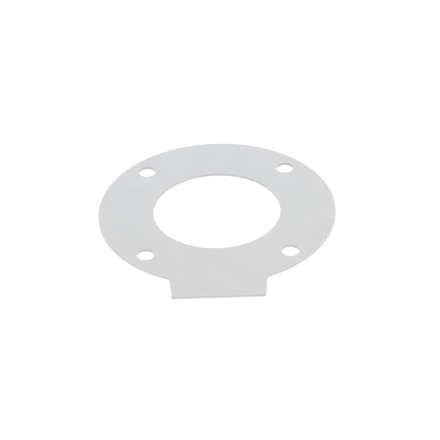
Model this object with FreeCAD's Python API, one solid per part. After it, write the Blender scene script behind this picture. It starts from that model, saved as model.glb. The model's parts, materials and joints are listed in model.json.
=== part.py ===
# Flat fan gasket, stamped in one piece from white silicone rubber sheet.
#
# The ring seals the joint between a fan and the flange it is screwed to. The air
# passes through the large hole, a screw passes through each small hole, and the
# blunt tab stands out past the rim, where it shows which way round the gasket lies
# and gives fingers something to pull.
#
# The blade comes down from above, so each cut is rolled over a little at its upper
# edge and square at its lower edge.
#
# Millimetres, +Z up. The origin is the centre of the air hole on the underside, and
# the tab points along -Y.
import FreeCAD
import Part
import math
import os

# The sheet
sheet_thickness = 1.2
cut_roll_radius = 0.15

# The screws and their circle
screw_diameter = 6.0
screw_clearance = 1.0
screw_count = 4
screw_circle_diameter = 80.0
first_screw_angle = 45.0

# The fan's outlet, which the air hole clears all round
outlet_diameter = 50.0
outlet_clearance = 0.5

# The rubber left outside each screw hole
rim_land = 4.0

# The tab: its width is measured across its end, its reach from the rim, and each
# side opens out by the flare as it runs back to the ring
tab_end_width = 36.0
tab_reach = 8.0
tab_flare_angle = 4.0
tab_corner_radius = 0.5
tab_root_radius = 1.5

# Sizes that follow from those above
screw_hole_radius = (screw_diameter + screw_clearance) / 2
screw_circle_radius = screw_circle_diameter / 2
air_hole_radius = outlet_diameter / 2 + outlet_clearance
rim_radius = screw_circle_radius + screw_hole_radius + rim_land
tab_end_y = -(rim_radius + tab_reach)


def ring_blank():
    """The round part of the gasket before any hole is cut."""
    return Part.makeCylinder(rim_radius, sheet_thickness)


def tab_blank():
    """The tab, run back under the round part as far as the centre line."""
    end_half_width = tab_end_width / 2
    flare = -tab_end_y * math.tan(math.radians(tab_flare_angle))
    centre_half_width = end_half_width + flare
    corners = [
        FreeCAD.Vector(-centre_half_width, 0, 0),
        FreeCAD.Vector(-end_half_width, tab_end_y, 0),
        FreeCAD.Vector(end_half_width, tab_end_y, 0),
        FreeCAD.Vector(centre_half_width, 0, 0),
    ]
    outline = Part.makePolygon(corners + corners[:1])
    return Part.Face(outline).extrude(FreeCAD.Vector(0, 0, sheet_thickness))


def upright_edges(shape):
    """The edges that run through the sheet, from the tab's end backwards."""
    upright = [edge for edge in shape.Edges if edge.BoundBox.ZLength > sheet_thickness / 2]
    return sorted(upright, key=lambda edge: edge.CenterOfMass.y)


def rounded_tab(shape):
    """The blank with the tab's two roots and two outer corners rounded.

    Of the edges through the sheet, the first two are the tab's corners and the
    next two its roots.
    """
    roots = upright_edges(shape)[2:4]
    shape = shape.makeFillet(tab_root_radius, roots)
    corners = upright_edges(shape)[:2]
    return shape.makeFillet(tab_corner_radius, corners)


def hole(radius, x, y):
    """A cutter that passes right through the sheet at x, y."""
    past = sheet_thickness
    base = FreeCAD.Vector(x, y, -past)
    return Part.makeCylinder(radius, sheet_thickness + 2 * past, base)


def cutters():
    """The air hole's cutter and one for each screw hole."""
    made = [hole(air_hole_radius, 0, 0)]
    for number in range(screw_count):
        angle = math.radians(first_screw_angle + number * 360 / screw_count)
        x = screw_circle_radius * math.cos(angle)
        y = screw_circle_radius * math.sin(angle)
        made.append(hole(screw_hole_radius, x, y))
    return made


def rolled_cuts(shape):
    """The gasket with the upper edge of its outline and of every hole rolled over."""
    upper = [edge for edge in shape.Edges if edge.BoundBox.ZMin > sheet_thickness / 2]
    return shape.makeFillet(cut_roll_radius, upper)


def fan_gasket():
    """The whole gasket as one solid."""
    blank = ring_blank().fuse(tab_blank()).removeSplitter()
    stamped = rounded_tab(blank).cut(Part.makeCompound(cutters()))
    return rolled_cuts(stamped.Solids[0])


gasket = fan_gasket().Solids[0]
os.makedirs("parts", exist_ok=True)
gasket.exportStep("parts/fan_gasket.step")
print("valid:", gasket.isValid(), "faces:", len(gasket.Faces))
print("volume:", round(gasket.Volume, 1), "mm3")
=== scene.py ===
# The looks of the flat fan gasket: its stamped silicone sheet as a fine mesh, with
# rolled and dished cuts and a matt rubber skin, in a pale studio.
#
# Metres, in the part's own frame: the sheet lies on z = 0, the air hole is centred on
# the origin, and the tab points along -Y.
import json
import math

import bpy
import numpy as np
from mathutils import Matrix, Vector
from mathutils.geometry import delaunay_2d_cdt


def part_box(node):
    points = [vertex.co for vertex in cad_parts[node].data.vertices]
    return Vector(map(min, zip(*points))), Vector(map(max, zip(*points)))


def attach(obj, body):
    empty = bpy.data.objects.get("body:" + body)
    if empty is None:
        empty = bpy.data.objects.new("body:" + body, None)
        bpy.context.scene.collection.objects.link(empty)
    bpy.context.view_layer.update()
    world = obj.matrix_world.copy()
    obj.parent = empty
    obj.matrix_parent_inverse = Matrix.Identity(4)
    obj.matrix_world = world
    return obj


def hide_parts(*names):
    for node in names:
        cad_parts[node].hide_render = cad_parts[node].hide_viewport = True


MM = 0.001

# The tab, the rolled edge and the turn of the screw holes, as on the solid
TAB_END_WIDTH = 36 * MM
TAB_FLARE = math.radians(4)
TAB_CORNER_RADIUS = 0.5 * MM
TAB_ROOT_RADIUS = 1.5 * MM
CUT_ROLL_RADIUS = 0.15 * MM
FIRST_SCREW_ANGLE = math.radians(45)

# What the blade leaves: the wall springs back hollow, nicks in the blade draw lines
# down it, and the lower edge is all but sharp
WALL_DISH = 0.05 * MM
BLADE_LINE_DEPTH = 0.025 * MM
LOWER_EDGE_RADIUS = 0.03 * MM
BLADE_SEED = 7

# The thickness of the sheet wanders a little. Each wave is its depth, its length and its
# heading, which also sets where the wave starts
THICKNESS_WAVES = (
    (0.016 * MM, 61 * MM, math.radians(24)),
    (0.012 * MM, 37 * MM, math.radians(101)),
    (0.007 * MM, 19 * MM, math.radians(163)),
)

# How fine the mesh is. Each flat face starts with a narrow strip, so that the shading
# of the rounded edges doesn't run on into it, and its grid keeps clear of the edge
OUTLINE_STEP = 0.45 * MM
SMALLEST_ARC_STEPS = 5
FACE_STEP = 1.1 * MM
GRID_CLEARANCE = 0.66 * MM
ROLL_STEPS = 5
WALL_STEPS = 6
LOWER_EDGE_STEPS = 2
EDGE_STRIP = 0.1 * MM

# The numbers of the sheet's two materials
SKIN = 0
CUT = 1

# The rubber's colour runs between a dark and a pale tone, in clouds and fine specks.
# The clouds also change how rough it is. Noise seldom leaves the range from NOISE_LOW to
# NOISE_HIGH, so the tones are spread over that
SKIN_TONES = ((0.667, 0.669, 0.670, 1), (0.701, 0.703, 0.704, 1))
# The cut's tones sit a little below the skin's. This is painted shade on the cut walls and on
# the rounded edge that leads into them
SHADED_CUT_TONES = ((0.637, 0.642, 0.648, 1), (0.671, 0.676, 0.682, 1))
NOISE_LOW = 0.3
NOISE_HIGH = 0.7
CLOUD_SIZE = 13 * MM
CLOUD_DETAIL = 4
SPECK_SIZE = 0.4 * MM
SPECK_SHARE = 0.22
SKIN_ROUGHNESS = 0.55
CUT_ROUGHNESS = 0.65
ROUGHNESS_CHANGE = 0.04

# Light goes a little way into the rubber before it leaves again, blue light the least
SILICONE_IOR = 1.41
SCATTER_SHARE = 1.0
SCATTER_DEPTH = 0.5 * MM
SCATTER_BY_COLOUR = (1.0, 0.97, 0.94)

# The calender's grain on the skin, and the scratches that run down a cut
GRAIN_SIZE = 0.35 * MM
GRAIN_DEPTH = 0.014 * MM
SCRATCH_WIDTH = 0.12 * MM
SCRATCH_LENGTH = 4 * MM
SCRATCH_DEPTH = 0.02 * MM
FINE_DETAIL = 2

# The studio. Most of the floor's white is its own glow, so that no shadow shows on it
WHITE = (1, 1, 1, 1)
FLOOR_TONE = (0.30, 0.30, 0.30, 1)
FLOOR_ROUGHNESS = 0.9
FLOOR_GLOW = 0.74
FLOOR_WIDTH = 30.0
SURROUND_STRENGTH = 0.83

# The softboxes. Each has its place, its width, its power in watts and its colour, and
# faces the origin
SOFTBOXES = {
    "softbox_overhead": (Vector((0.20, 0.06, 0.69)), 0.6, 1.06, (1.0, 0.89, 0.61)),
    "softbox_far_side": (Vector((-0.015, 0.09, 0.14)), 0.15, 0.035, (0.05, 0.36, 1.0)),
}

# The camera looks down at the sheet, with the tab towards it
LENS_MM = 169.3
SENSOR_MM = 36
CAMERA_DISTANCE = 823 * MM
CAMERA_ELEVATION = math.radians(36.08)
CAMERA_AZIMUTH = math.radians(0.28)
CAMERA_ROLL = math.radians(-1.9)
CAMERA_TARGET = Vector((1.13, -7.07, 1.2)) * MM

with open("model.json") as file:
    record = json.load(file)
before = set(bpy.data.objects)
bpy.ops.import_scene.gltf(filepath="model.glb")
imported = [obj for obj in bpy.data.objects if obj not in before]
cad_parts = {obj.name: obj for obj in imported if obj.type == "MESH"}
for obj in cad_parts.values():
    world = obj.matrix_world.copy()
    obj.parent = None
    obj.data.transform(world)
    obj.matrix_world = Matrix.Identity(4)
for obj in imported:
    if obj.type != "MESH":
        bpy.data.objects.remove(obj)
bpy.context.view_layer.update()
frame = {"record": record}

# The sizes that the frame gives
lowest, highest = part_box("fan_gasket")
mounts = {mount["name"]: mount["dims"] for mount in frame["record"]["mounts"]}
THICKNESS = highest.z
RIM_RADIUS = highest.x
TAB_END_Y = lowest.y
AIR_HOLE_RADIUS = mounts["air_hole"]["r_mm"] * MM
SCREW_HOLE_RADIUS = mounts["screw_holes"]["hole_r_mm"] * MM
SCREW_CIRCLE_RADIUS = mounts["screw_holes"]["pcd_mm"] * MM / 2
SCREW_COUNT = mounts["screw_holes"]["count"]


# Outlines. Each is walked with the rubber on its left, and is an array of points and
# one of their outward normals

def arc(centre, radius, start, end, hollow=False):
    """A round stretch of an outline; hollow where the rubber lies outside the arc."""
    length = abs(end - start) * radius
    steps = max(SMALLEST_ARC_STEPS, math.ceil(length / OUTLINE_STEP))
    angles = np.linspace(start, end, steps + 1)
    spokes = np.column_stack([np.cos(angles), np.sin(angles)])
    return np.asarray(centre) + radius * spokes, -spokes if hollow else spokes


def mirrored(stretch):
    """The same stretch on the other side of the tab, walked the other way round."""
    points, normals = stretch
    return points[::-1] * (-1, 1), normals[::-1] * (-1, 1)


def outline(arcs):
    """The closed outline through these arcs, straight from each one to the next.

    Where an arc ends just where the next one starts, there is no straight between them.
    """
    points, normals = [], []
    for (arc_points, arc_normals), (next_points, _) in zip(arcs, arcs[1:] + arcs[:1]):
        side_start, side_end = arc_points[-1], next_points[0]
        steps = round(np.linalg.norm(side_end - side_start) / OUTLINE_STEP)
        shares = np.linspace(0, 1, steps, endpoint=False)[:, None]
        points += [arc_points[:-1], side_start + shares * (side_end - side_start)]
        normals += [arc_normals[:-1], np.tile(arc_normals[-1], (steps, 1))]
    return np.vstack(points), np.vstack(normals)


def tab_corner():
    """The arc round the corner on the right of the tab's end."""
    along_end = TAB_CORNER_RADIUS * math.tan((math.pi / 2 - TAB_FLARE) / 2)
    centre = (TAB_END_WIDTH / 2 - along_end, TAB_END_Y + TAB_CORNER_RADIUS)
    return arc(centre, TAB_CORNER_RADIUS, -math.pi / 2, -TAB_FLARE)


def tab_root():
    """The hollow arc from the tab's right side to the rim, and the angle where it ends.

    Its centre lies its own radius from the side and from the rim. It is the first point
    to lie that near to the rim on the line that runs back beside the side.
    """
    side = np.array([math.sin(TAB_FLARE), math.cos(TAB_FLARE)])
    side_normal = np.array([math.cos(TAB_FLARE), -math.sin(TAB_FLARE)])
    beside_end = np.array([TAB_END_WIDTH / 2, TAB_END_Y]) + TAB_ROOT_RADIUS * side_normal
    reach = RIM_RADIUS + TAB_ROOT_RADIUS
    from_origin = beside_end @ side_normal
    along = -(beside_end @ side) - math.sqrt(reach**2 - from_origin**2)
    centre = beside_end + along * side
    rim_angle = math.atan2(centre[1], centre[0])
    root = arc(centre, TAB_ROOT_RADIUS, math.pi - TAB_FLARE, math.pi + rim_angle, hollow=True)
    return root, rim_angle


def rim_outline():
    """The outline of the ring and its tab."""
    corner = tab_corner()
    root, rim_angle = tab_root()
    rim = arc((0, 0), RIM_RADIUS, rim_angle, math.pi - rim_angle)
    return outline([corner, root, rim, mirrored(root), mirrored(corner)])


def holes():
    """The centre and radius of the air hole and of each screw hole."""
    found = [(np.zeros(2), AIR_HOLE_RADIUS)]
    for number in range(SCREW_COUNT):
        angle = FIRST_SCREW_ANGLE + number * math.tau / SCREW_COUNT
        centre = SCREW_CIRCLE_RADIUS * np.array([math.cos(angle), math.sin(angle)])
        found.append((centre, SCREW_HOLE_RADIUS))
    return found


def all_outlines():
    """Every outline, end to end: its points, their normals and the number of the next point."""
    outlines = [rim_outline()]
    for centre, radius in holes():
        outlines.append(outline([arc(centre, radius, math.tau, 0, hollow=True)]))
    following = []
    for points, _ in outlines:
        first = sum(len(numbers) for numbers in following)
        following.append(first + np.roll(np.arange(len(points)), -1))
    points = np.vstack([points for points, _ in outlines])
    normals = np.vstack([normals for _, normals in outlines])
    return points, normals, np.concatenate(following)


# The mesh of the sheet

def cut_profile():
    """The section of a cut, as rows from the upper face to the lower one.

    Each row has how far in from the outline it lies, its height, its share of the
    wall's hollow, and the material of the strip that ends at it. The hollow is a
    parabola: all of it half way down the wall, and none at the wall's two ends.
    """
    wall_top = THICKNESS - CUT_ROLL_RADIUS
    rows = [(CUT_ROLL_RADIUS + EDGE_STRIP, THICKNESS, 0, SKIN)]
    for angle in np.linspace(0, math.pi / 2, ROLL_STEPS + 1):
        inset = CUT_ROLL_RADIUS * (1 - math.sin(angle))
        # The rounded edge takes the cut's material, so the painted shade in its tones keeps the
        # edge from showing paler than the wall
        material = CUT if angle > 0 else SKIN
        rows.append((inset, wall_top + CUT_ROLL_RADIUS * math.cos(angle), 0, material))
    for share in np.linspace(0, 1, WALL_STEPS + 1)[1:-1]:
        height = wall_top + share * (LOWER_EDGE_RADIUS - wall_top)
        rows.append((0, height, 1 - (2 * share - 1) ** 2, CUT))
    for angle in np.linspace(0, math.pi / 2, LOWER_EDGE_STEPS + 1):
        inset = LOWER_EDGE_RADIUS * (1 - math.cos(angle))
        rows.append((inset, LOWER_EDGE_RADIUS * (1 - math.sin(angle)), 0, CUT))
    rows.append((LOWER_EDGE_RADIUS + EDGE_STRIP, 0, 0, SKIN))
    return rows


def raised(points, height):
    """Points of the plan, raised to this height of a sheet a shade thinner than nominal."""
    thinning = np.zeros(len(points))
    for depth, length, heading in THICKNESS_WAVES:
        travel = points @ (math.cos(heading), math.sin(heading))
        thinning += depth * (1 + np.sin(math.tau * travel / length + heading))
    return np.column_stack([points, height * (1 - thinning / THICKNESS)])


def face_grid(edge):
    """The corners of an even grid of triangles over the plan, without those by the edge."""
    row_step = FACE_STEP * math.sin(math.pi / 3)
    xs = np.arange(edge[:, 0].min(), edge[:, 0].max(), FACE_STEP)
    ys = np.arange(edge[:, 1].min(), edge[:, 1].max(), row_step)
    shifts = np.arange(len(ys)) % 2 * FACE_STEP / 2
    grid = np.column_stack([np.add.outer(shifts, xs).ravel(), np.repeat(ys, len(xs))])
    nearest = np.array([np.linalg.norm(edge - point, axis=1).min() for point in grid])
    return grid[nearest > GRID_CLEARANCE]


def flat_face(edge, following):
    """The points inside a flat face, and its triangles.

    The triangles number the points of the edge first, and then those inside. They fill
    the whole rim at first, and those in the holes are taken out again.
    """
    points = np.vstack([edge, face_grid(edge)])
    places = [Vector(point) for point in points / MM]
    sides = [(number, int(after)) for number, after in enumerate(following)]
    inside_the_rim = 1
    nearness = 1e-6
    filled = delaunay_2d_cdt(places, sides, [], inside_the_rim, nearness)
    _, _, found, sources, _, _ = filled
    # Each corner is numbered anew, and its source is the point that it came from
    triangles = np.array([[sources[corner][0] for corner in face] for face in found])
    middles = points[triangles].mean(axis=1)
    clear = np.ones(len(triangles), bool)
    for centre, radius in holes():
        clear &= np.linalg.norm(middles - centre, axis=1) > radius
    used, triangles = np.unique(triangles[clear], return_inverse=True)
    return points[used[len(edge):]], triangles.reshape(-1, 3)


def cut_strips(edge, normals, following):
    """The rows of points round every cut, the strips between them and their materials."""
    count = len(edge)
    here = np.arange(count)
    nicks = np.random.default_rng(BLADE_SEED).random((count, 1))
    wall_hollow = WALL_DISH + BLADE_LINE_DEPTH * nicks
    rows, quads, materials = [], [], []
    for number, (inset, height, hollow, material) in enumerate(cut_profile()):
        rows.append(raised(edge - normals * (inset + hollow * wall_hollow), height))
        if number:
            lower, upper = number * count, (number - 1) * count
            strip = [lower + here, lower + following, upper + following, upper + here]
            quads.append(np.column_stack(strip))
            materials += [material] * count
    return rows, quads, materials


def gasket_mesh():
    """The whole sheet as one closed mesh: its cuts, and the two flat faces between them.

    The upper face joins the first row of the cuts and the lower face the last one. One
    filling serves both, because its inner points keep clear of either row.
    """
    edge, normals, following = all_outlines()
    rows, quads, materials = cut_strips(edge, normals, following)
    inner, triangles = flat_face(edge - normals * CUT_ROLL_RADIUS, following)
    points = rows + [raised(inner, THICKNESS), raised(inner, 0)]

    count = len(edge)
    upper_inner = count * len(rows)
    lower_inner = upper_inner + len(inner)
    last_row = upper_inner - count
    on_edge = triangles < count
    upper_face = np.where(on_edge, triangles, triangles - count + upper_inner)
    lower_face = np.where(on_edge, triangles + last_row, triangles - count + lower_inner)
    faces = np.vstack(quads).tolist() + upper_face.tolist() + lower_face[:, ::-1].tolist()
    materials += [SKIN] * (2 * len(triangles))

    mesh = bpy.data.meshes.new("gasket_sheet")
    mesh.from_pydata(np.vstack(points).tolist(), [], faces)
    mesh.polygons.foreach_set("material_index", materials)
    mesh.shade_smooth()
    return mesh


# Materials

def add_node(tree, kind, inputs):
    """A new shader node, with its inputs set or linked by name."""
    node = tree.nodes.new(kind)
    for name, value in inputs.items():
        if isinstance(value, bpy.types.NodeSocket):
            tree.links.new(value, node.inputs[name])
        else:
            node.inputs[name].default_value = value
    return node


def noise(tree, place, size, detail=FINE_DETAIL):
    """Noise whose marks are about this size."""
    inputs = {"Vector": place, "Scale": 1 / size, "Detail": detail}
    return add_node(tree, "ShaderNodeTexNoise", inputs).outputs["Fac"]


def tones(tree, share, colours):
    """The colour that noise of this share gives, between a dark and a pale tone."""
    ramp = add_node(tree, "ShaderNodeValToRGB", {"Fac": share})
    stops = zip(ramp.color_ramp.elements, colours, (NOISE_LOW, NOISE_HIGH))
    for element, colour, position in stops:
        element.color = colour
        element.position = position
    return ramp.outputs["Color"]


def bump(tree, height, depth):
    """The normal of a surface with marks of this depth."""
    inputs = {"Height": height, "Distance": depth}
    return add_node(tree, "ShaderNodeBump", inputs).outputs["Normal"]


def rubber(name, colours, marks, depth, roughness):
    """Silicone rubber: matt, faintly cloudy and specked, and a little translucent.

    marks makes the height of its surface marks from the tree and the place on it.
    """
    material = bpy.data.materials.new(name)
    material.use_nodes = True
    tree = material.node_tree
    tree.nodes.clear()
    place = add_node(tree, "ShaderNodeTexCoord", {}).outputs["Object"]
    clouds = noise(tree, place, CLOUD_SIZE, CLOUD_DETAIL)
    specks = noise(tree, place, SPECK_SIZE)
    specked = add_node(tree, "ShaderNodeMix", {"Factor": SPECK_SHARE, "A": clouds, "B": specks})
    range_of_roughness = {
        "Value": clouds,
        "To Min": roughness - ROUGHNESS_CHANGE,
        "To Max": roughness + ROUGHNESS_CHANGE,
    }
    rough = add_node(tree, "ShaderNodeMapRange", range_of_roughness)
    shader = add_node(
        tree,
        "ShaderNodeBsdfPrincipled",
        {
            "Base Color": tones(tree, specked.outputs["Result"], colours),
            "Roughness": rough.outputs["Result"],
            "IOR": SILICONE_IOR,
            "Subsurface Weight": SCATTER_SHARE,
            "Subsurface Radius": SCATTER_BY_COLOUR,
            "Subsurface Scale": SCATTER_DEPTH,
            "Normal": bump(tree, marks(tree, place), depth),
        },
    )
    add_node(tree, "ShaderNodeOutputMaterial", {"Surface": shader.outputs["BSDF"]})
    return material


def skin_grain(tree, place):
    """The fine matt grain that the sheet takes from its calender."""
    return noise(tree, place, GRAIN_SIZE)


def blade_scratches(tree, place):
    """Fine scratches that run down the wall of a cut.

    The place is scaled first, to one unit across a scratch and one along it.
    """
    scale = (1 / SCRATCH_WIDTH, 1 / SCRATCH_WIDTH, 1 / SCRATCH_LENGTH)
    scaled = add_node(tree, "ShaderNodeMapping", {"Vector": place, "Scale": scale})
    return noise(tree, scaled.outputs["Vector"], 1)


def skin_rubber():
    """The upper and lower skin of the sheet."""
    return rubber("silicone_skin", SKIN_TONES, skin_grain, GRAIN_DEPTH, SKIN_ROUGHNESS)


def cut_rubber():
    """The rubber of the cuts: duller than the skin, and a little darker, as painted shade on
    the walls.
    """
    return rubber("silicone_cut", SHADED_CUT_TONES, blade_scratches, SCRATCH_DEPTH, CUT_ROUGHNESS)


# The studio

def floor():
    """A plain floor under the sheet, which glows an even white, as a light table does."""
    half = FLOOR_WIDTH / 2
    corners = [(-half, -half, 0), (half, -half, 0), (half, half, 0), (-half, half, 0)]
    mesh = bpy.data.meshes.new("floor")
    mesh.from_pydata(corners, [], [(0, 1, 2, 3)])
    material = bpy.data.materials.new("floor")
    material.use_nodes = True
    shader = material.node_tree.nodes["Principled BSDF"]
    shader.inputs["Base Color"].default_value = FLOOR_TONE
    shader.inputs["Roughness"].default_value = FLOOR_ROUGHNESS
    shader.inputs["Emission Color"].default_value = WHITE
    shader.inputs["Emission Strength"].default_value = FLOOR_GLOW
    mesh.materials.append(material)
    made = bpy.data.objects.new("floor", mesh)
    bpy.context.scene.collection.objects.link(made)


def studio_light():
    """An even pale surround, a warm softbox overhead and a small cool one at the far side."""
    world = bpy.data.worlds.new("surround")
    world.use_nodes = True
    background = world.node_tree.nodes["Background"]
    background.inputs["Color"].default_value = WHITE
    background.inputs["Strength"].default_value = SURROUND_STRENGTH
    bpy.context.scene.world = world

    for name, (place, width, power, colour) in SOFTBOXES.items():
        lamp = bpy.data.lights.new(name, "AREA")
        lamp.size = width
        lamp.energy = power
        lamp.color = colour
        softbox = bpy.data.objects.new(name, lamp)
        softbox.location = place
        softbox.rotation_mode = "QUATERNION"
        softbox.rotation_quaternion = (-place).to_track_quat("-Z", "Y")
        softbox.visible_camera = False
        bpy.context.scene.collection.objects.link(softbox)


def camera():
    """The camera, turned to its heading, tipped down to the sheet and rolled a little."""
    lens = bpy.data.cameras.new("camera")
    lens.lens = LENS_MM
    lens.sensor_width = SENSOR_MM
    turn = (
        Matrix.Rotation(CAMERA_AZIMUTH, 4, "Z")
        @ Matrix.Rotation(math.pi / 2 - CAMERA_ELEVATION, 4, "X")
        @ Matrix.Rotation(CAMERA_ROLL, 4, "Z")
    )
    back = turn @ Vector((0, 0, CAMERA_DISTANCE))
    made = bpy.data.objects.new("camera", lens)
    made.matrix_world = Matrix.Translation(CAMERA_TARGET + back) @ turn
    bpy.context.scene.collection.objects.link(made)
    bpy.context.scene.camera = made


camera()
floor()
studio_light()
bpy.context.scene.view_settings.view_transform = "Standard"

# The sheet, whose materials go on in the order of SKIN and CUT
gasket = bpy.data.objects.new("gasket_sheet", gasket_mesh())
gasket.data.materials.append(skin_rubber())
gasket.data.materials.append(cut_rubber())
bpy.context.scene.collection.objects.link(gasket)
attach(gasket, "root")
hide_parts("fan_gasket")
